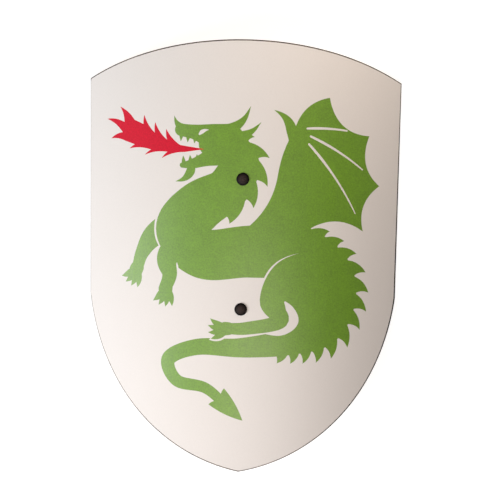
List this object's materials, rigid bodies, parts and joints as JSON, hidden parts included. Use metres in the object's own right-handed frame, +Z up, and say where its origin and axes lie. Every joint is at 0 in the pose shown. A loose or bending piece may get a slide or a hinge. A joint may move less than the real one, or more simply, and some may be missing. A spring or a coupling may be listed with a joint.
{
  "type": "toy knight shield",
  "caption": "Child's toy knight shield: a plywood panel bent about its long axis, painted white with a green heraldic dragon, with a leather hand strap bolted behind it.",
  "frame": {"origin": "on the floor under the middle of the lying shield's box", "axes": "+Z up through the front face, +Y from the tip to the top edge, +X to the right as the front is seen"},
  "size_m": [0.3596, 0.5, 0.0586],
  "materials": {
    "painted_plywood": "satin white paint with a flat green and red print on the front, dark cut edge, bare birch plywood on the back",
    "strap_leather": "brown vegetable-tanned leather, burnished edges, waxed stitching",
    "dark_metal": "dark blackened steel, satin",
    "zinc_plate": "bright zinc plate, a little dull"
  },
  "bodies": {
    "root": {"shield_panel": "painted_plywood", "hand_strap": "strap_leather", "upper_bolt": "dark_metal", "lower_bolt": "dark_metal", "upper_washer": "zinc_plate", "lower_washer": "zinc_plate", "upper_nut": "zinc_plate", "lower_nut": "zinc_plate"}
  },
  "joints": []
}
